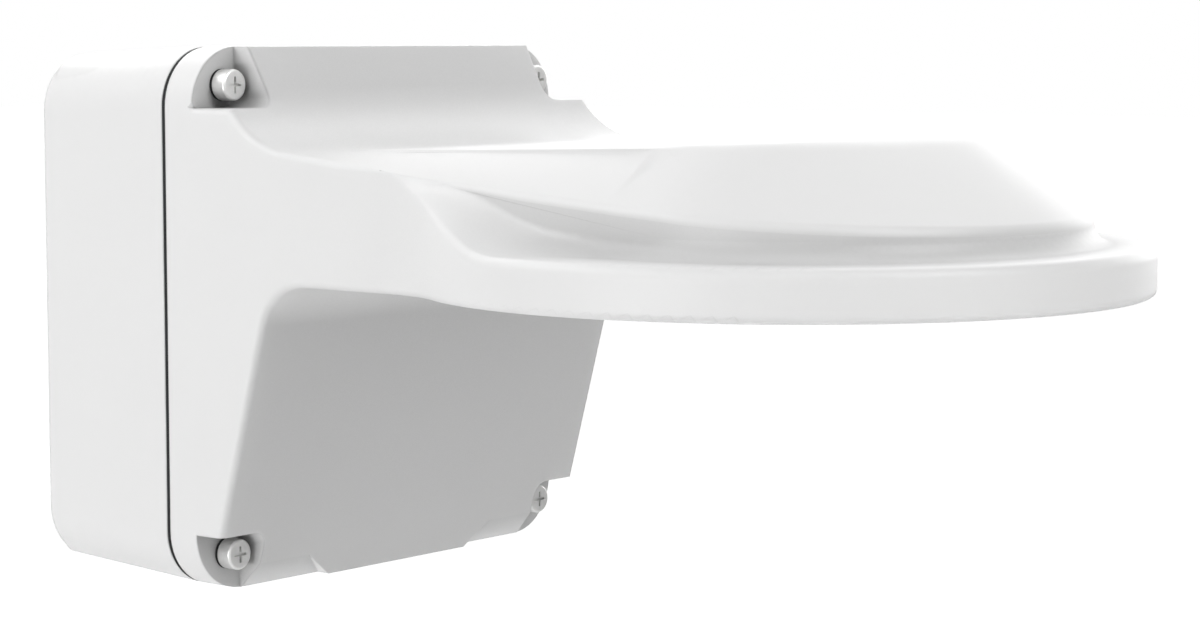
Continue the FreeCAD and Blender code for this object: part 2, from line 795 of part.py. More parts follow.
def ring_body(name, role, offset, length, outer, inner, x=0.0, y=0.0, back=False):
    """A plain ring or disc, drawn as one or two circles and padded."""
    body = new_body(name)
    sketch = new_sketch(body, name + "_sketch", role, offset)
    circle(sketch, x, y, outer)
    if inner is not None:
        circle(sketch, x, y, inner)
    pad(body, name + "_pad", sketch, length, back=back)
    return body


def disc_row(name, role, offset, length, centres, radius, back=False):
    """Several equal discs in one sketch."""
    body = new_body(name)
    sketch = new_sketch(body, name + "_sketch", role, offset)
    for x, y in centres:
        circle(sketch, x, y, radius)
    pad(body, name + "_pad", sketch, length, back=back)
    return body


corners = [(sx * size("screw_x"), sz * size("screw_z")) for sx in (-1, 1) for sz in (-1, 1)]
corner_words = ["low_left", "top_left", "low_right", "top_right"]
hole_radius = size("screw_radius") + 5 * size("fit_gap")
keeper_radius = size("column_radius") - 2.6

# Columns behind the four recess floors, with clearance holes and a seat for the retainer
arm_columns = disc_row("arm_columns", "XZ_Plane", gasket_front,
                       size("pocket_floor") - gasket_front - 1, corners, size("column_radius"))
arm_holes = disc_row("arm_screw_holes", "XZ_Plane", gasket_front - 2, size("floor_depth") + 10, corners, hole_radius)
arm_seats = disc_row("arm_retainer_seats", "XZ_Plane", gasket_front - 2, 3.4, corners, keeper_radius + 6 * size("fit_gap"))

# Underside of the dish: a recess inside the rim, a spigot round the cable hole, ribs and four posts
recess_r = size("dish_radius") - size("rim_wall")
ceiling_z = size("dish_top_z") - size("dish_skin")
recess = ring_body("dish_recess", "XY_Plane", under - 2, ceiling_z - under + 2, recess_r, None, 0.0, -reach)
spigot = ring_body("cable_spigot", "XY_Plane", size("post_end_z"), ceiling_z - size("post_end_z") + 1,
                   size("cable_bore") + 3, size("cable_bore"), 0.0, -reach)
cable_hole = ring_body("cable_hole", "XY_Plane", under - 2, 24.0, size("cable_bore"), None, 0.0, -reach)
post_arm = size("camera_pitch") / 2 * 0.70711
post_places = [(sx * post_arm, -reach + sy * post_arm) for sx in (-1, 1) for sy in (-1, 1)]
posts = disc_row("camera_posts", "XY_Plane", size("post_end_z"), size("dish_top_z") + 4 - size("post_end_z"),
                 post_places, size("post_radius"))
post_holes = disc_row("camera_post_holes", "XY_Plane", size("post_end_z") - 1, 13.0, post_places, size("post_hole_radius"))

rib_half = size("rib_width") / 2
rib_bodies = []
for index in range(4):
    turn = math.radians(45.0 * index + 22.5)
    c, s = math.cos(turn), math.sin(turn)
    long_r = recess_r + 1
    rib = new_body("dish_rib_" + str(index + 1))
    rib_sketch = new_sketch(rib, "dish_rib_sketch_" + str(index + 1), "XY_Plane", size("post_end_z") + 2)
    polygon(rib_sketch, [
        (long_r * c + rib_half * s, -reach + long_r * s - rib_half * c),
        (long_r * c - rib_half * s, -reach + long_r * s + rib_half * c),
        (-long_r * c - rib_half * s, -reach - long_r * s + rib_half * c),
        (-long_r * c + rib_half * s, -reach - long_r * s - rib_half * c),
    ])
    pad(rib, "dish_rib_pad_" + str(index + 1), rib_sketch, ceiling_z - size("post_end_z") - 1)
    rib_bodies.append(rib)

arm_recessed = part_object("Cut", "arm_recessed", Base=arm_shell, Tool=recess)
arm_joined = part_object("MultiFuse", "arm_joined",
                         Shapes=[arm_recessed, arm_columns, spigot, posts] + rib_bodies)
arm_bores = part_object("MultiFuse", "arm_bores", Shapes=[arm_holes, arm_seats, cable_hole, post_holes])
arm_housing = part_object("Cut", "arm_housing", Base=arm_joined, Tool=arm_bores)
doc.recompute()

# Rear box: a tapered shell, open to the front, with columns for the cover screws
box = new_body("rear_box")
box_sketch = new_sketch(box, "box_sketch", "XZ_Plane", size("box_depth"))
polygon(box_sketch, [(-half_w, -half_h), (half_w, -half_h), (half_w, half_h), (-half_w, half_h)])
box_pad = pad(box, "box_pad", box_sketch, size("box_depth"), back=True, taper=-size("box_taper"))


def box_corner(edge):
    shape = box_of(edge)
    return shape.YLength > 10


box_rounds = round_edges(box, "box_corners", box_pad, box_corner, size("corner_radius"))
doc.recompute()


def face_names(shape, test):
    return ["Face" + str(i + 1) for i, face in enumerate(shape.Faces) if test(face)]


front_face = face_names(box_rounds.Shape, lambda face: near(face.CenterOfMass.y, -sizes["box_depth"]))
box_shell = box.newObject("PartDesign::Thickness", "box_shell")
box_shell.Base = (box_rounds, front_face)
bind(box_shell, "Value", wall)
box_shell.Reversed = True
doc.recompute()



def box_lip(edge):
    """The outer edge round the open side of the box."""
    shape = box_of(edge)
    front = -sizes["box_depth"]
    outer = max(abs(shape.XMin), abs(shape.XMax)) > sizes["half_width"] - 0.5 * sizes["wall"]
    outer = outer or max(abs(shape.ZMin), abs(shape.ZMax)) > sizes["half_height"] - 0.5 * sizes["wall"]
    return near(shape.YMin, front) and near(shape.YMax, front) and outer


box_lip_round = round_edges(box, "box_lip_round", box_shell, box_lip, size("box_lip_round"))
doc.recompute()

column_sketch = new_sketch(box, "box_column_sketch", "XZ_Plane", wall - 1)
for x, y in corners:
    circle(column_sketch, x, y, size("column_radius") - 0.3)
box_columns = pad(box, "box_columns", column_sketch, size("box_depth") - wall + 1)
boss_sketch = new_sketch(box, "conduit_boss_sketch", "XY_Plane", -half_h - 0.3)
circle(boss_sketch, 0.0, -size("conduit_depth"), size("conduit_radius") + 6.8)
conduit_boss = pad(box, "conduit_boss", boss_sketch, 15.5)
earth_sketch = new_sketch(box, "earth_boss_sketch", "XZ_Plane", wall - 1)
earth_x = size("earth_x")
earth_z = size("earth_z")
circle(earth_sketch, earth_x, -earth_z, 5.0)
earth_boss = pad(box, "earth_boss", earth_sketch, 6.0)
screw_tip = size("pocket_floor") + size("seal_height") - size("screw_length")
thread_sketch = new_sketch(box, "box_thread_sketch", "XZ_Plane", screw_tip - size("screw_tip_gap"))
for x, y in corners:
    circle(thread_sketch, x, y, size("screw_radius") + size("fit_gap"))
box_threads = pocket(box, "box_threads", thread_sketch, 30.0, back=True)
earth_hole_sketch = new_sketch(box, "earth_hole_sketch", "XZ_Plane", wall + 0.8)
circle(earth_hole_sketch, earth_x, -earth_z, size("screw_radius") + size("fit_gap"))
earth_hole = pocket(box, "earth_hole", earth_hole_sketch, 10.0, back=True)
wall_hole_sketch = new_sketch(box, "wall_hole_sketch", "XZ_Plane", -2.0)
for sx in (-1, 1):
    for sz in (-1, 1):
        circle(wall_hole_sketch, sx * size("wall_hole_x"), sz * size("wall_hole_z"), size("wall_hole_radius"))
circle(wall_hole_sketch, 0.0, 0.0, size("entry_radius"))
wall_holes = pocket(box, "wall_holes", wall_hole_sketch, wall + 6, back=True)
recess_sketch = new_sketch(box, "grommet_seat_sketch", "XZ_Plane", -2.0)
circle(recess_sketch, 0.0, 0.0, size("entry_radius") + 3.3)
grommet_seat = pocket(box, "grommet_seat", recess_sketch, 3.2, back=True)
conduit_sketch = new_sketch(box, "conduit_hole_sketch", "XY_Plane", -half_h - 3)
circle(conduit_sketch, 0.0, -size("conduit_depth"), size("conduit_radius"))
conduit_hole = pocket(box, "conduit_hole", conduit_sketch, 30.0, back=True)
flange_sketch = new_sketch(box, "conduit_seat_sketch", "XY_Plane", -half_h - 3)
circle(flange_sketch, 0.0, -size("conduit_depth"), size("conduit_radius") + 3.4)
conduit_seat = pocket(box, "conduit_seat", flange_sketch, 6.7, back=True)
box.Tip = conduit_seat
doc.recompute()

# Gasket: a thin frame with a pad round each cover screw
gasket = new_body("box_gasket")
gasket_sketch = new_sketch(gasket, "gasket_sketch", "XZ_Plane", size("box_depth"))
gx = half_w - size("gasket_inset")
gz = half_h - size("gasket_inset")
polygon(gasket_sketch, [(-gx, -gz), (gx, -gz), (gx, gz), (-gx, gz)])
gasket_pad = pad(gasket, "gasket_pad", gasket_sketch, size("gasket_depth"))


def short_depth_edge(edge):
    shape = box_of(edge)
    return near(shape.YLength, sizes["gasket_depth"], 0.01)


gasket_rounds = round_edges(gasket, "gasket_corners", gasket_pad, short_depth_edge,
                            size("corner_radius") - size("gasket_inset"))
inner_sketch = new_sketch(gasket, "gasket_inner_sketch", "XZ_Plane", size("box_depth") - 1)
ix = gx - size("gasket_width")
iz = gz - size("gasket_width")
cut_x = size("screw_x") - size("column_radius")
cut_z = size("screw_z") - size("column_radius")
polygon(inner_sketch, [
    (-cut_x, -iz), (cut_x, -iz), (cut_x, -cut_z), (ix, -cut_z),
    (ix, cut_z), (cut_x, cut_z), (cut_x, iz), (-cut_x, iz),
    (-cut_x, cut_z), (-ix, cut_z), (-ix, -cut_z), (-cut_x, -cut_z),
])
gasket_window = pocket(gasket, "gasket_window", inner_sketch, 6.0, back=True)
gasket_hole_sketch = new_sketch(gasket, "gasket_hole_sketch", "XZ_Plane", size("box_depth") - 1)
for x, y in corners:
    circle(gasket_hole_sketch, x, y, size("screw_radius") + 0.6)
gasket_holes = pocket(gasket, "gasket_holes", gasket_hole_sketch, 6.0, back=True)
gasket.Tip = gasket_holes
doc.recompute()

# Cover screws, each with a rubber ring under its head and a retainer behind the plate
floor_t = size("pocket_floor")
seal_height = size("seal_height")
head_height = size("head_height")
screws, seals, retainers = [], [], []
for (x, z), word in zip(corners, corner_words):
    screw = new_body("cover_screw_" + word)
    shank = new_sketch(screw, "shank_" + word, "XZ_Plane", screw_tip)
    circle(shank, x, z, size("screw_radius") - size("fit_gap"))
    shank_pad = pad(screw, "shank_pad_" + word, shank, size("screw_length"))
    head = new_sketch(screw, "head_" + word, "XZ_Plane", floor_t + seal_height)
    circle(head, x, z, size("head_radius"))
    head_pad = pad(screw, "head_pad_" + word, head, head_height)

    def head_rim(edge, front=-(floor_t + seal_height + head_height).value):
        shape = box_of(edge)
        return near(shape.YMin, front) and near(shape.YMax, front)

    head_round = round_edges(screw, "head_round_" + word, head_pad, head_rim, size("head_round"))
    cross = new_sketch(screw, "cross_" + word, "XZ_Plane", floor_t + seal_height + head_height - size("cross_depth"))
    arm, half = size("cross_reach"), size("cross_width") / 2
    outline = [(half, half), (arm, half * 0.8), (arm, -half * 0.8), (half, -half), (half * 0.8, -arm),
               (-half * 0.8, -arm), (-half, -half), (-arm, -half * 0.8), (-arm, half * 0.8), (-half, half),
               (-half * 0.8, arm), (half * 0.8, arm)]
    polygon(cross, [(x + a, z + b) for a, b in outline])
    cross_cut = pocket(screw, "cross_cut_" + word, cross, 6.0, back=True)
    screw.Tip = cross_cut
    screws.append(screw)
    seals.append(ring_body("screw_seal_" + word, "XZ_Plane", floor_t, seal_height,
                           size("head_radius") + size("fit_gap"), size("screw_radius") + 0.3, x, z))
    retainers.append(ring_body("screw_retainer_" + word, "XZ_Plane", gasket_front + 0.2, 1.2,
                                keeper_radius, size("screw_radius") + 0.1, x, z))
doc.recompute()

# Cable grommet in the rear wall: two flanges, a neck and a thin skin with a small hole
grommet = new_body("cable_grommet")
neck_r = size("entry_radius") - 0.2
for label, start, length, radius in (
        ("back_flange", 0.1, 1.1, size("entry_radius") + 3.0),
        ("neck", 0.6, wall, neck_r),
        ("front_flange", wall, 1.6, size("entry_radius") + 3.0)):
    ring_sketch = new_sketch(grommet, "grommet_" + label, "XZ_Plane", start)
    circle(ring_sketch, 0.0, 0.0, radius)
    pad(grommet, "grommet_" + label + "_pad", ring_sketch, length)
bowl_sketch = new_sketch(grommet, "grommet_bowl", "XZ_Plane", 1.6)
circle(bowl_sketch, 0.0, 0.0, neck_r - 2.2)
pocket(grommet, "grommet_bowl_cut", bowl_sketch, 20.0, back=True)
eye_sketch = new_sketch(grommet, "grommet_eye", "XZ_Plane", -1.0)
circle(eye_sketch, 0.0, 0.0, size("eye_radius"))
eye_cut = pocket(grommet, "grommet_eye_cut", eye_sketch, 10.0, back=True)
grommet.Tip = eye_cut
doc.recompute()

# Conduit plug in the lower wall of the box, flush in its seat over a sealing ring
plug = new_body("conduit_plug")
cd = -size("conduit_depth")
seat_z = -half_h - 0.3
flange = new_sketch(plug, "plug_flange", "XY_Plane", seat_z + 0.1)
circle(flange, 0.0, cd, size("conduit_radius") + 3.1)
pad(plug, "plug_flange_pad", flange, size("plug_flange"))
plug_step = seat_z + size("plug_flange") + 0.1
thread = new_sketch(plug, "plug_thread", "XY_Plane", plug_step)
circle(thread, 0.0, cd, size("conduit_radius") - 0.1)
pad(plug, "plug_thread_pad", thread, size("plug_thread"))
slot = new_sketch(plug, "plug_slot", "XY_Plane", seat_z - 1.0)
slot_half = size("plug_slot_width") / 2
slot_end = size("conduit_radius") - 4.2
polygon(slot, [(-slot_end, cd - slot_half), (slot_end, cd - slot_half), (slot_end, cd + slot_half),
               (-slot_end, cd + slot_half)])
pocket(plug, "plug_slot_cut", slot, 3.0, back=True)
hollow = new_sketch(plug, "plug_hollow", "XY_Plane", plug_step + 3.5)
circle(hollow, 0.0, cd, size("conduit_radius") - 0.1 - size("plug_wall"))
plug_hollow = pocket(plug, "plug_hollow_cut", hollow, 20.0, back=True)
plug.Tip = plug_hollow
plug_seal = ring_body("conduit_plug_seal", "XY_Plane", plug_step, 1.5,
                      size("conduit_radius") + 2.6, size("conduit_radius") + 0.1, 0.0, cd)
doc.recompute()

# Earth screw and washer on a boss inside the box
washer = ring_body("earth_washer", "XZ_Plane", wall + 5, 0.8, 4.5, size("screw_radius") + 0.2, earth_x, -earth_z)
earth = new_body("earth_screw")
earth_shank = new_sketch(earth, "earth_shank", "XZ_Plane", wall + 1.5)
circle(earth_shank, earth_x, -earth_z, size("screw_radius") - size("fit_gap"))
pad(earth, "earth_shank_pad", earth_shank, 4.3)
earth_head = new_sketch(earth, "earth_head", "XZ_Plane", wall + 5.8)
circle(earth_head, earth_x, -earth_z, 4.0)
earth_head_pad = pad(earth, "earth_head_pad", earth_head, 2.6)
earth_round = round_edges(earth, "earth_head_round", earth_head_pad,
                          lambda edge: near(box_of(edge).YMin, -sizes["wall"] - 8.4)
                          and near(box_of(edge).YMax, -sizes["wall"] - 8.4), 0.8)
earth_cross = new_sketch(earth, "earth_cross", "XZ_Plane", wall + 6.6)
polygon(earth_cross, [(earth_x + a, -earth_z + b) for a, b in outline])
earth_cut = pocket(earth, "earth_cross_cut", earth_cross, 6.0, back=True)
earth.Tip = earth_cut
doc.recompute()

# Check every step, then write one file for each piece
for thing in doc.Objects:
    if "Invalid" in thing.State or "Error" in thing.State:
        raise RuntimeError("step not built: " + thing.Name)
pieces = [box, gasket, arm_housing] + screws + seals + retainers
pieces += [grommet, plug, plug_seal, earth, washer]
os.makedirs("parts", exist_ok=True)
for piece in pieces:
    shape = piece.Shape
    if shape.isNull() or not shape.isValid() or len(shape.Solids) != 1:
        raise RuntimeError("shape not sound: " + piece.Label)
    shape.exportStep("parts/" + piece.Label + ".step")
    print(piece.Label, round(shape.Volume))
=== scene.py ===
"""Camera bracket: a cast wall box, a cast arm with a dished head, and what joins and seals them."""

import bmesh
import bpy
import numpy as np
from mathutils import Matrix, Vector


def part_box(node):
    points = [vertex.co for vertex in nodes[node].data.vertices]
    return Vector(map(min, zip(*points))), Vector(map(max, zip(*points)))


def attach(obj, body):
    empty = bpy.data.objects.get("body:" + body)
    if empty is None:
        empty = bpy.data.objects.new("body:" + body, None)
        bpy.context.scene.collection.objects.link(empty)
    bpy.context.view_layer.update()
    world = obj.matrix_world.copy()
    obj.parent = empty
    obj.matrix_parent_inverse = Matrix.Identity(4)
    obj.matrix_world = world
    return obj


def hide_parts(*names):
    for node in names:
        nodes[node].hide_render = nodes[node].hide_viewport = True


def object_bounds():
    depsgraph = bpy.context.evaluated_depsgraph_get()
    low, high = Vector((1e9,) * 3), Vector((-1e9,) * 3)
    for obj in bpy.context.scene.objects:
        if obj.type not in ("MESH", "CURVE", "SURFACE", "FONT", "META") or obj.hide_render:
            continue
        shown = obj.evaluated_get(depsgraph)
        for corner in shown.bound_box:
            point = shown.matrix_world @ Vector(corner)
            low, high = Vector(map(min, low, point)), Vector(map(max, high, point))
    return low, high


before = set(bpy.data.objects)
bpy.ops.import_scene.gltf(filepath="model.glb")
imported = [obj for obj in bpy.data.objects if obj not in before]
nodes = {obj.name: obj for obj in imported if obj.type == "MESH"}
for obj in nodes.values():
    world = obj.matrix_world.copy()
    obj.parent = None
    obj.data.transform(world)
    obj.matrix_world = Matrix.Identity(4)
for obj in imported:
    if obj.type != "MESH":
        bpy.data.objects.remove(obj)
cad_box = [list(corner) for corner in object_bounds()]


# Wall box. The real piece is a die-cast aluminium tray with its open side to the arm, powder
# coated in white. Four bolts fix it to the wall and it carries the arm on four corner columns.

CASTING_FOLD = 32.0
WELD_GAP = 1e-6


def merged_copy(node_name, piece_name, fold_angle):
    """A copy of a node's surface with its shared corners joined and its folds kept crisp.

    Corners closer than WELD_GAP become one, faces shade smoothly, and an edge stays sharp where
    its two faces turn by more than fold_angle degrees.
    """
    mesh = nodes[node_name].data.copy()
    mesh.name = piece_name
    piece = bpy.data.objects.new(piece_name, mesh)
    bpy.context.scene.collection.objects.link(piece)
    bm = bmesh.new()
    bm.from_mesh(mesh)
    bmesh.ops.remove_doubles(bm, verts=bm.verts, dist=WELD_GAP)
    bm.to_mesh(mesh)
    bm.free()
    if mesh.has_custom_normals:
        mesh.attributes.remove(mesh.attributes["custom_normal"])
    mesh.shade_smooth()
    mesh.set_sharp_from_angle(angle=np.radians(fold_angle))
    even = piece.modifiers.new("even_normals", "WEIGHTED_NORMAL")
    even.keep_sharp = True
    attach(piece, "root")
    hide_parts(node_name)
    return piece


def give_finish(piece, finish):
    """Leave the piece with one material."""
    piece.data.materials.clear()
    piece.data.materials.append(finish)


def orange_peel():
    """Powder coat texture: a fine noise lifts the surface, and a broad one is put out as a mottle.

    The fine noise has one grain in every Grain Size metres. Mottle runs from 0 to 1.
    """
    group = bpy.data.node_groups.new("orange_peel", "ShaderNodeTree")
    face = group.interface
    grain = face.new_socket("Grain Size", in_out="INPUT", socket_type="NodeSocketFloat")
    grain.default_value = 0.0006
    depth = face.new_socket("Depth", in_out="INPUT", socket_type="NodeSocketFloat")
    depth.default_value = 0.2
    face.new_socket("Rounded Normal", in_out="INPUT", socket_type="NodeSocketVector")
    face.new_socket("Normal", in_out="OUTPUT", socket_type="NodeSocketVector")
    face.new_socket("Mottle", in_out="OUTPUT", socket_type="NodeSocketFloat")
    add, link = group.nodes.new, group.links.new
    given, made = add("NodeGroupInput"), add("NodeGroupOutput")
    place = add("ShaderNodeTexCoord")
    scale = add("ShaderNodeMath")
    scale.operation = "DIVIDE"
    scale.inputs[0].default_value = 1.0
    link(given.outputs["Grain Size"], scale.inputs[1])
    fine = add("ShaderNodeTexNoise")
    fine.inputs["Detail"].default_value = 2.0
    link(place.outputs["Object"], fine.inputs["Vector"])
    link(scale.outputs[0], fine.inputs["Scale"])
    broad = add("ShaderNodeTexNoise")
    broad.inputs["Scale"].default_value = 26.0
    broad.inputs["Detail"].default_value = 3.0
    link(place.outputs["Object"], broad.inputs["Vector"])
    bump = add("ShaderNodeBump")
    bump.inputs["Distance"].default_value = 0.00004
    link(given.outputs["Depth"], bump.inputs["Strength"])
    link(fine.outputs["Fac"], bump.inputs["Height"])
    link(given.outputs["Rounded Normal"], bump.inputs["Normal"])
    link(bump.outputs["Normal"], made.inputs["Normal"])
    link(broad.outputs["Fac"], made.inputs["Mottle"])
    return group


COAT_WHITE = (0.74, 0.74, 0.74)
COAT_ROUGHNESS, COAT_SPREAD, COAT_THIN = 0.46, 0.03, 0.985
EDGE_RADIUS = 0.0012
# Painted shade: the coat's colour is darkened near other surfaces within this reach, by this strength.
PAINTED_SHADE_REACH, PAINTED_SHADE_STRENGTH = 0.10, 0.75


def powder_coat(name, colour, roughness, edge_radius):
    """A sprayed and baked coat, whose gloss and tint vary a little with the mottle.

    It shades the folds as if rounded by edge_radius, and darkens its colour with painted shade
    where other surfaces stand within the painted shade's reach, as ambient occlusion shades hollows.
    """
    coat = bpy.data.materials.new(name)
    coat.use_nodes = True
    tree = coat.node_tree
    shader = tree.nodes["Principled BSDF"]
    shader.inputs["IOR"].default_value = 1.46
    peel = tree.nodes.new("ShaderNodeGroup")
    peel.node_tree = orange_peel()
    rounded = tree.nodes.new("ShaderNodeBevel")
    rounded.samples = 6
    rounded.inputs["Radius"].default_value = edge_radius
    tree.links.new(rounded.outputs["Normal"], peel.inputs["Rounded Normal"])
    tree.links.new(peel.outputs["Normal"], shader.inputs["Normal"])
    shade = tree.nodes.new("ShaderNodeMapRange")
    shade.inputs["To Min"].default_value = roughness - COAT_SPREAD
    shade.inputs["To Max"].default_value = roughness + COAT_SPREAD
    tree.links.new(peel.outputs["Mottle"], shade.inputs["Value"])
    tree.links.new(shade.outputs["Result"], shader.inputs["Roughness"])
    tint = tree.nodes.new("ShaderNodeMix")
    tint.data_type = "RGBA"
    tint.inputs["A"].default_value = (*[c * COAT_THIN for c in colour], 1.0)
    tint.inputs["B"].default_value = (*colour, 1.0)
    tree.links.new(peel.outputs["Mottle"], tint.inputs["Factor"])
    # Painted shade: ambient occlusion multiplies the coat's colour darker in hollows, corners and
    # under overhangs.
    hollow = tree.nodes.new("ShaderNodeAmbientOcclusion")
    hollow.samples = 6
    hollow.inputs["Distance"].default_value = PAINTED_SHADE_REACH
    shade_painted_colour = tree.nodes.new("ShaderNodeMix")
    shade_painted_colour.data_type = "RGBA"
    shade_painted_colour.blend_type = "MULTIPLY"
    shade_painted_colour.inputs["Factor"].default_value = PAINTED_SHADE_STRENGTH
    tree.links.new(tint.outputs["Result"], shade_painted_colour.inputs["A"])
    tree.links.new(hollow.outputs["Color"], shade_painted_colour.inputs["B"])
    tree.links.new(shade_painted_colour.outputs["Result"], shader.inputs["Base Color"])
    return coat


white_coat = powder_coat("white_powder_coat", COAT_WHITE, COAT_ROUGHNESS, EDGE_RADIUS)
wall_box = merged_copy("rear_box", "wall_box", CASTING_FOLD)
give_finish(wall_box, white_coat)


# Box gasket. A moulded rubber cord, black and matt, lies in the joint between the box and the
# arm, and shows as a thin dark line all the way round. The ring that seals the conduit plug
# below the box is moulded in the same rubber.

SMALL_FOLD = 40.0


def speckle():
    """A fine noise that carries a tint from Low to High Colour and a gloss from Low to High Roughness.

    Both follow the same noise, from 0 to 1, which is also put out as a height.
    """
    group = bpy.data.node_groups.new("speckle", "ShaderNodeTree")
    face = group.interface
    for socket in ["Noise Scale", "Noise Detail", "Low Roughness", "High Roughness"]:
        face.new_socket(socket, in_out="INPUT", socket_type="NodeSocketFloat")
    for socket in ["Low Colour", "High Colour"]:
        face.new_socket(socket, in_out="INPUT", socket_type="NodeSocketColor")
    face.new_socket("Colour", in_out="OUTPUT", socket_type="NodeSocketColor")
    for socket in ["Roughness", "Height"]:
        face.new_socket(socket, in_out="OUTPUT", socket_type="NodeSocketFloat")
    add, link = group.nodes.new, group.links.new
    given, made = add("NodeGroupInput"), add("NodeGroupOutput")
    place = add("ShaderNodeTexCoord")
    noise = add("ShaderNodeTexNoise")
    link(place.outputs["Object"], noise.inputs["Vector"])
    link(given.outputs["Noise Scale"], noise.inputs["Scale"])
    link(given.outputs["Noise Detail"], noise.inputs["Detail"])
    tint = add("ShaderNodeMix")
    tint.data_type = "RGBA"
    link(noise.outputs["Fac"], tint.inputs["Factor"])
    link(given.outputs["Low Colour"], tint.inputs["A"])
    link(given.outputs["High Colour"], tint.inputs["B"])
    gloss = add("ShaderNodeMapRange")
    link(noise.outputs["Fac"], gloss.inputs["Value"])
    link(given.outputs["Low Roughness"], gloss.inputs["To Min"])
    link(given.outputs["High Roughness"], gloss.inputs["To Max"])
    link(tint.outputs["Result"], made.inputs["Colour"])
    link(gloss.outputs["Result"], made.inputs["Roughness"])
    link(noise.outputs["Fac"], made.inputs["Height"])
    return group


def speckled(name, noise_scale, noise_detail, colours, roughness, spread):
    """A material that takes its colour and roughness from speckle, in the node called flecks."""
    material = bpy.data.materials.new(name)
    material.use_nodes = True
    tree = material.node_tree
    shader = tree.nodes["Principled BSDF"]
    flecks = tree.nodes.new("ShaderNodeGroup")
    flecks.name = "flecks"
    flecks.node_tree = bpy.data.node_groups.get("speckle") or speckle()
    flecks.inputs["Noise Scale"].default_value = noise_scale
    flecks.inputs["Noise Detail"].default_value = noise_detail
    flecks.inputs["Low Roughness"].default_value = roughness - spread
    flecks.inputs["High Roughness"].default_value = roughness + spread
    for socket, colour in zip(["Low Colour", "High Colour"], colours):
        flecks.inputs[socket].default_value = (*colour, 1.0)
    tree.links.new(flecks.outputs["Colour"], shader.inputs["Base Color"])
    tree.links.new(flecks.outputs["Roughness"], shader.inputs["Roughness"])
    return material


def moulded_rubber(name, colour, roughness):
    """Matt rubber: a faint bloom lightens it in patches and roughens it there."""
    bloomed = [1.6 * c for c in colour]
    rubber = speckled(name, 220.0, 4.0, [colour, bloomed], roughness, 0.08)
    rubber.node_tree.nodes["Principled BSDF"].inputs["Specular IOR Level"].default_value = 0.3
    return rubber


black_rubber = moulded_rubber("black_rubber", (0.012, 0.012, 0.013), 0.78)
for name in ["box_gasket", "conduit_plug_seal"]:
    give_finish(merged_copy(name, name + "_ring", SMALL_FOLD), black_rubber)


# Arm housing. One aluminium casting: the flange that closes the box, the hollow arm, the hood
# that sweeps down from the flange, and the shallow dish whose underside takes the camera. The
# pattern's folds are rolled by hand tools, so the crown and the roof panel have soft edges.

# The arm as cast: half the hood's width, how far the dish's axis stands from the wall, and the
# turn in degrees below which two faces are joined into one.
HOOD_SIDE = 0.0728
DISH_AXIS = -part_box("arm_housing")[0].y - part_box("arm_housing")[1].x
FLAT_TURN = 0.2

# The roof panel's rim: half its width, where it starts and how low it lies, how much its fold
# turns at least, how near to that line it is found beside the arm and round the dish, its roll.
PANEL_HALF, PANEL_START, PANEL_LOW, PANEL_TURN = 0.048, 0.085, 0.045, 10.0
PANEL_NEAR, PANEL_ARC_NEAR = 0.0001, 0.0004
PANEL_ROLL = 0.003

# The crown: where it starts and how low it runs, how much its fold turns at least, how far
# inside and outside the hood's side it is found, and its roll.
CROWN_START, CROWN_LOW, CROWN_TURN = 0.0657, 0.028, 35.0
CROWN_INSIDE, CROWN_OUTSIDE = 0.0003, 0.0012
CROWN_ROLL = 0.0016

# The run-outs of the flanks, where the crown's roll narrows to a share of itself, and where the
# round head starts beyond them.
RUN_OUT, RUN_OUT_SPREAD, RUN_OUT_PINCH = 0.140, 0.024, 0.05
HEAD_START = 0.200

# How wide a strip is cleared beside each fold, in shares of its roll, and the steps of a roll.
CLEAR_PANEL, CLEAR_CROWN, CLEAR_HEAD = 1.2, 0.45, 0.9
ROLL_STEPS = 4

# The wall behind the dish: half its turn in degrees, its steps, and its section as distances
# from the dish's axis and heights.
WEB_TURN, WEB_STEPS = 24.0, 24
WEB_SECTION = [(0.0925, 0.0130), (0.0925, 0.02398), (0.0840, 0.02398), (0.0840, 0.02102),
               (0.09012, 0.02102), (0.09012, 0.0130)]


def fold_places(bm):
    """For every edge, its middle as x, t forward of the wall, z and reach, and its turn in degrees.

    reach is the distance from the middle plane beside the arm, and from the dish axis beyond it.
    """
    middles = np.array([(e.verts[0].co + e.verts[1].co) / 2 for e in bm.edges])
    turns = np.array([np.degrees(e.calc_face_angle_signed(0.0)) for e in bm.edges])
    x, t, z = middles[:, 0], -middles[:, 1], middles[:, 2]
    reach = np.where(t > DISH_AXIS, np.hypot(x, t - DISH_AXIS), abs(x))
    return x, t, z, reach, turns


def picked(bm, picks):
    """The edges whose pick is true."""
    return [e for e, pick in zip(bm.edges, picks) if pick]


def clear_beside(bm, edges, width):
    """Take out the loose corners beyond PANEL_START that lie nearer than width to the given folds.

    A corner's distance from a fold is that from the nearest point between the fold's two ends.
    """
    on_fold = {v for e in edges for v in e.verts}
    loose = [v for v in bm.verts if v not in on_fold and -v.co.y > PANEL_START]
    corners = np.array([v.co for v in loose])
    gap = np.full(len(corners), np.inf)
    for start, stop in np.array([[v.co for v in e.verts] for e in edges]):
        run = stop - start
        share = np.clip((corners - start) @ run / (run @ run), 0.0, 1.0)
        gap = np.minimum(gap, np.linalg.norm(corners - start - share[:, None] * run, axis=1))
    bmesh.ops.dissolve_verts(bm, verts=[v for v, g in zip(loose, gap) if g < width])
    bm.normal_update()


def panel_rim(bm):
    """Which edges are folds of the roof panel's rim: a line on each side and an arc round the dish."""
    _, t, z, reach, turn = fold_places(bm)
    near = np.where(t > DISH_AXIS, PANEL_ARC_NEAR, PANEL_NEAR)
    return (turn > PANEL_TURN) & (z > PANEL_LOW) & (t > PANEL_START) & (abs(reach - PANEL_HALF) < near)


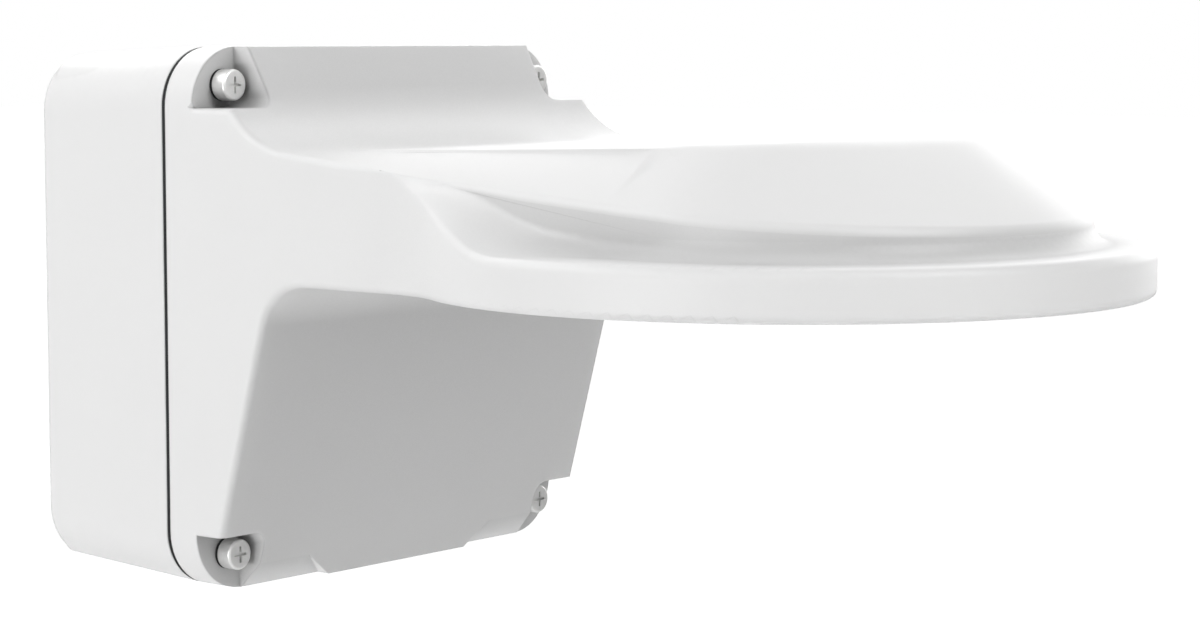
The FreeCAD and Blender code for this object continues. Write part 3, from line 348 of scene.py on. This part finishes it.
def crown_folds(bm):
    """Which edges are folds of the crown, and how far forward of the wall each edge lies."""
    x, t, z, reach, turn = fold_places(bm)
    outer = (reach > HOOD_SIDE - CROWN_INSIDE) & (abs(x) < HOOD_SIDE + CROWN_OUTSIDE)
    return outer & (turn > CROWN_TURN) & (z > CROWN_LOW) & (t > CROWN_START), t


def close_dish_back(bm):
    """An L-shaped wall turned about the dish axis, between the dish recess and the hollow of the arm.

    Its points are x = r sin(a), y = r cos(a) - DISH_AXIS for a from -WEB_TURN to WEB_TURN degrees,
    with r and z round WEB_SECTION, and a flat face closes each end.
    """
    section = np.array(WEB_SECTION)
    count = len(section)
    a = np.radians(np.linspace(-WEB_TURN, WEB_TURN, WEB_STEPS + 1))[:, None]
    r, z = section[:, 0], np.tile(section[:, 1], (WEB_STEPS + 1, 1))
    points = np.stack([r * np.sin(a), r * np.cos(a) - DISH_AXIS, z], axis=-1)
    corner = np.arange(count)
    here = corner + count * np.arange(WEB_STEPS)[:, None]
    beside = np.roll(corner, -1) + count * np.arange(WEB_STEPS)[:, None]
    sides = np.stack([here, beside, beside + count, here + count], axis=-1).reshape(-1, 4)
    ends = [corner.tolist(), (corner + count * WEB_STEPS).tolist()]
    web = bpy.data.meshes.new("dish_back_wall")
    web.from_pydata(points.reshape(-1, 3).tolist(), [], sides.tolist() + ends)
    old_faces = len(bm.faces)
    bm.from_mesh(web)
    bpy.data.meshes.remove(web)
    bm.faces.ensure_lookup_table()
    bmesh.ops.recalc_face_normals(bm, faces=bm.faces[old_faces:])


def rolled_arm():
    """The arm's surface with its crown and the rim of its roof panel rolled.

    The crown's roll has the width CROWN_ROLL times 1 - (1 - RUN_OUT_PINCH) exp(-s^2), where s is
    (t - RUN_OUT) / RUN_OUT_SPREAD and t is the distance forward of the wall.
    """
    piece = merged_copy("arm_housing", "arm_casting", CASTING_FOLD)
    bm = bmesh.new()
    bm.from_mesh(piece.data)
    bmesh.ops.dissolve_limit(bm, angle_limit=np.radians(FLAT_TURN), verts=bm.verts, edges=bm.edges)
    bm.normal_update()
    rim = picked(bm, panel_rim(bm))
    clear_beside(bm, rim, CLEAR_PANEL * PANEL_ROLL)
    rim = [e for e in rim if e.is_valid]
    bmesh.ops.bevel(bm, geom=rim, offset=PANEL_ROLL, offset_type="OFFSET", segments=ROLL_STEPS,
                    profile=0.5, affect="EDGES", clamp_overlap=False, loop_slide=True)
    bm.normal_update()
    for start, share in [(CROWN_START, CLEAR_CROWN), (HEAD_START, CLEAR_HEAD)]:
        crown, t = crown_folds(bm)
        clear_beside(bm, picked(bm, crown & (t > start)), share * CROWN_ROLL)
    crown, t = crown_folds(bm)
    width = 1.0 - (1.0 - RUN_OUT_PINCH) * np.exp(-((t - RUN_OUT) / RUN_OUT_SPREAD) ** 2)
    weight = bm.edges.layers.float.new("bevel_weight_edge")
    for edge, rolled in zip(bm.edges, np.where(crown, width, 0.0)):
        edge[weight] = float(rolled)
    close_dish_back(bm)
    bm.to_mesh(piece.data)
    bm.free()
    piece.data.shade_smooth()
    piece.data.set_sharp_from_angle(angle=np.radians(CASTING_FOLD))
    piece.modifiers["even_normals"].mode = "FACE_AREA_WITH_ANGLE"
    roll = piece.modifiers.new("crown_roll", "BEVEL")
    roll.limit_method = "WEIGHT"
    roll.width = CROWN_ROLL
    roll.segments = ROLL_STEPS
    roll.use_clamp_overlap = False
    piece.modifiers.move(1, 0)
    return piece


arm_casting = rolled_arm()
give_finish(arm_casting, white_coat)


# Cover screws. Zinc plated pan head screws with a cross recess hold the arm to the box, each
# with a black sealing ring under its head and a nylon washer that keeps it in the arm.

def plated_steel(name, colour, roughness):
    """Zinc plated steel under a passivated film that darkens it in fine flecks."""
    stained = [0.88 * c for c in colour]
    steel = speckled(name, 900.0, 3.0, [stained, colour], roughness, 0.08)
    steel.node_tree.nodes["Principled BSDF"].inputs["Metallic"].default_value = 0.75
    return steel


def moulded_plastic(name, colour, roughness):
    """Plain moulded plastic with a fine spark-eroded grain, raised where its tint is full."""
    shaded = [0.95 * c for c in colour]
    plastic = speckled(name, 1500.0, 2.0, [shaded, colour], roughness, 0.06)
    tree = plastic.node_tree
    bump = tree.nodes.new("ShaderNodeBump")
    bump.inputs["Strength"].default_value = 0.3
    bump.inputs["Distance"].default_value = 0.00003
    tree.links.new(tree.nodes["flecks"].outputs["Height"], bump.inputs["Height"])
    tree.links.new(bump.outputs["Normal"], tree.nodes["Principled BSDF"].inputs["Normal"])
    return plastic


screw_zinc = plated_steel("zinc_plate", (0.80, 0.80, 0.79), 0.40)
nylon = moulded_plastic("natural_nylon", (0.62, 0.61, 0.55), 0.5)
for corner in ["low_left", "top_left", "low_right", "top_right"]:
    screw = merged_copy("cover_screw_" + corner, "screw_" + corner, SMALL_FOLD)
    ring = merged_copy("screw_seal_" + corner, "sealing_ring_" + corner, SMALL_FOLD)
    keeper = merged_copy("screw_retainer_" + corner, "keeper_washer_" + corner, SMALL_FOLD)
    give_finish(screw, screw_zinc)
    give_finish(ring, black_rubber)
    give_finish(keeper, nylon)


# Cable grommet and conduit plug. The rubber grommet lines the cable's hole in the rear wall of
# the box, and the white moulded plug closes the threaded entry in its lower wall.

grommet = merged_copy("cable_grommet", "grommet", SMALL_FOLD)
give_finish(grommet, black_rubber)

plug_white = moulded_plastic("white_plastic", (0.74, 0.74, 0.73), 0.45)
plug = merged_copy("conduit_plug", "entry_plug", SMALL_FOLD)
give_finish(plug, plug_white)


# Earth terminal. A turned screw and a stamped washer, both of zinc plated steel, clamp the
# earth lead to the boss inside the box.

for name in ["earth_screw", "earth_washer"]:
    give_finish(merged_copy(name, name + "_plated", SMALL_FOLD), screw_zinc)


# Studio. A pale floor well below the bracket, a white surround, and ten square soft lamps all
# round it. The strongest stands low on the left, those in front light the head, and the weak
# ones on the right and at the rear draw a light line along the saddle's foot and the dish.

FLOOR_DROP = 0.30
FLOOR_HALF = 14.0
FLOOR_NEAR, FLOOR_FAR = 0.4, 2.2
GLOW_NEAR, GLOW_FAR = 0.50, 1.05
corners = FLOOR_HALF * np.array([[-1, -1, 0], [1, -1, 0], [1, 1, 0], [-1, 1, 0]], float)
corners[:, 2] = cad_box[0][2] - FLOOR_DROP
floor_mesh = bpy.data.meshes.new("studio_floor")
floor_mesh.from_pydata(corners.tolist(), [], [(0, 1, 2, 3)])
studio_floor = bpy.data.objects.new("studio_floor", floor_mesh)
bpy.context.scene.collection.objects.link(studio_floor)

# The floor glows for the camera only, and more with distance, so that it shows as white as the
# surround behind it.
floor_paint = bpy.data.materials.new("floor_paint")
floor_paint.use_nodes = True
floor_tree = floor_paint.node_tree
floor_shader = floor_tree.nodes["Principled BSDF"]
floor_shader.inputs["Base Color"].default_value = (0.82, 0.82, 0.82, 1.0)
floor_shader.inputs["Roughness"].default_value = 0.9
floor_shader.inputs["Specular IOR Level"].default_value = 0.0
floor_shader.inputs["Emission Color"].default_value = (1.0, 1.0, 1.0, 1.0)
floor_ray = floor_tree.nodes.new("ShaderNodeLightPath")
floor_place = floor_tree.nodes.new("ShaderNodeTexCoord")
floor_reach = floor_tree.nodes.new("ShaderNodeVectorMath")
floor_reach.operation = "LENGTH"
floor_tree.links.new(floor_place.outputs["Object"], floor_reach.inputs[0])
glow = floor_tree.nodes.new("ShaderNodeMapRange")
glow.inputs["From Min"].default_value = FLOOR_NEAR
glow.inputs["From Max"].default_value = FLOOR_FAR
glow.inputs["To Min"].default_value = GLOW_NEAR
glow.inputs["To Max"].default_value = GLOW_FAR
floor_tree.links.new(floor_reach.outputs["Value"], glow.inputs["Value"])
seen = floor_tree.nodes.new("ShaderNodeMath")
seen.operation = "MULTIPLY"
floor_tree.links.new(floor_ray.outputs["Is Camera Ray"], seen.inputs[0])
floor_tree.links.new(glow.outputs["Result"], seen.inputs[1])
floor_tree.links.new(seen.outputs[0], floor_shader.inputs["Emission Strength"])
floor_mesh.materials.append(floor_paint)

# The surround is white to the camera and nearly white in glossy surfaces, and gives the matt
# ones hardly any light.
WORLD_FILL, GLOSS_FILL = 0.01, 0.8
world = bpy.data.worlds.new("white_surround")
bpy.context.scene.world = world
world.use_nodes = True
sky = world.node_tree
surround = sky.nodes["Background"]
surround.inputs["Color"].default_value = (1.0, 1.0, 1.0, 1.0)
sky_ray = sky.nodes.new("ShaderNodeLightPath")
mirrored = sky.nodes.new("ShaderNodeMath")
mirrored.operation = "MULTIPLY"
mirrored.inputs[1].default_value = GLOSS_FILL
sky.links.new(sky_ray.outputs["Is Glossy Ray"], mirrored.inputs[0])
seen_by = sky.nodes.new("ShaderNodeMath")
seen_by.operation = "MAXIMUM"
sky.links.new(sky_ray.outputs["Is Camera Ray"], seen_by.inputs[0])
sky.links.new(mirrored.outputs[0], seen_by.inputs[1])
level = sky.nodes.new("ShaderNodeMapRange")
level.inputs["To Min"].default_value = WORLD_FILL
level.inputs["To Max"].default_value = 1.0
sky.links.new(seen_by.outputs[0], level.inputs["Value"])
sky.links.new(level.outputs["Result"], surround.inputs["Strength"])

MIDDLE = Vector((0.0, -0.14, 0.0))
SOFTBOX_SIDE, SOFTBOX_DISTANCE = 0.7, 1.5


def softbox(name, azimuth, height, power):
    """A square lamp that faces MIDDLE from SOFTBOX_DISTANCE away.

    It stands azimuth degrees round from the front, counted to the right, and height degrees up.
    """
    a, e = np.radians(azimuth), np.radians(height)
    away = Vector((np.sin(a) * np.cos(e), -np.cos(a) * np.cos(e), np.sin(e)))
    lamp = bpy.data.lights.new(name, "AREA")
    lamp.shape = "SQUARE"
    lamp.size = SOFTBOX_SIDE
    lamp.energy = power
    box = bpy.data.objects.new(name, lamp)
    bpy.context.scene.collection.objects.link(box)
    box.location = MIDDLE + SOFTBOX_DISTANCE * away
    box.rotation_euler = (-away).to_track_quat("-Z", "Y").to_euler()
    box.visible_camera = False


softbox("low_left_softbox", -90, -22, 31.0)
softbox("high_left_softbox", -130, 40, 11.0)
softbox("left_softbox", -100, 5, 4.2)
softbox("front_softbox", 0, 35, 14.2)
softbox("low_front_softbox", 0, -22, 10.5)
softbox("right_softbox", 90, 10, 5.2)
softbox("high_right_softbox", 100, 50, 4.8)
softbox("right_rear_softbox", 115, 25, 2.6)
softbox("low_rear_softbox", 140, 18, 2.6)
softbox("rear_softbox", 165, 35, 6.8)


# Camera. It stands in front and to the left of the bracket, a little above it, and looks a few
# degrees down, with a long lens.

CAMERA_PLACE = (-0.61694, -0.63762, 0.07567)
CAMERA_TURN, CAMERA_DOWN = 51.07, 5.36
LENS_LENGTH, SENSOR_WIDTH = 89.95, 36.0
turn, down = np.radians(CAMERA_TURN), np.radians(CAMERA_DOWN)
sight = Vector((np.sin(turn) * np.cos(down), np.cos(turn) * np.cos(down), -np.sin(down)))
lens = bpy.data.cameras.new("photo_camera")
lens.sensor_fit = "HORIZONTAL"
lens.sensor_width = SENSOR_WIDTH
lens.lens = LENS_LENGTH
lens.clip_start = 0.01
camera = bpy.data.objects.new("photo_camera", lens)
bpy.context.scene.collection.objects.link(camera)
camera.location = CAMERA_PLACE
camera.rotation_euler = sight.to_track_quat("-Z", "Y").to_euler()
bpy.context.scene.camera = camera
bpy.context.scene.view_settings.view_transform = "Standard"
